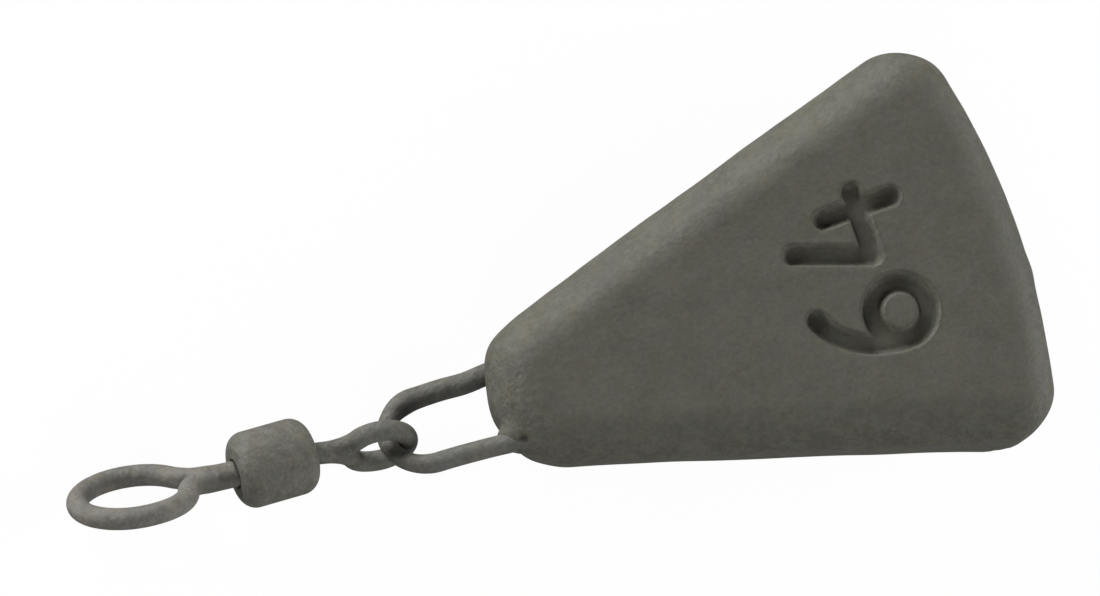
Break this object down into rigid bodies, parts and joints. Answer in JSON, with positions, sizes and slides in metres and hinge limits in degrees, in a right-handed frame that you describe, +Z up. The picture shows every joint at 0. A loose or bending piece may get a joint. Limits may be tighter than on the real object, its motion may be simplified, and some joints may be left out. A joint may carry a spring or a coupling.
{
  "type": "carp fishing lead",
  "caption": "Flat-faced pear-shaped fishing sinker with a coated lead body, a wire loop cast into its narrow end and a barrel swivel with a large line eye.",
  "frame": {"origin": "on the flat back face, under the middle of the lead's length", "axes": "+X from the narrow nose to the wide base, +Z up from the back face, which lies on Z = 0"},
  "size_m": [0.0608, 0.0252, 0.0147],
  "materials": {
    "lead": "as-cast lead, dull grey",
    "coat": "matt olive-grey camouflage coating",
    "coated_metal": "the same matt olive-grey coating over steel wire and brass barrel"
  },
  "bodies": {
    "lead": {"lead_core": "lead", "coating_skin": "coat", "wire_loop": "coated_metal"},
    "eye": {"small_eye": "coated_metal"},
    "barrel": {"swivel_barrel": "coated_metal"},
    "ring": {"line_ring": "coated_metal"}
  },
  "joints": [
    {"name": "eye_swing", "type": "hinge", "parent": "lead", "child": "eye", "pos_m": [-0.02338, 0, 0.00265], "axis": [0.0715, 0.8192, -0.5691], "range_deg": [-145, 120]},
    {"name": "barrel_spin", "type": "hinge", "parent": "eye", "child": "barrel", "pos_m": [-0.02849, 0.00107, 0.00298], "axis": [-0.9969, 0.047, 0.0631], "continuous": true},
    {"name": "ring_spin", "type": "hinge", "parent": "barrel", "child": "ring", "pos_m": [-0.03277, 0.00127, 0.00325], "axis": [-0.9969, 0.047, 0.0631], "continuous": true}
  ]
}
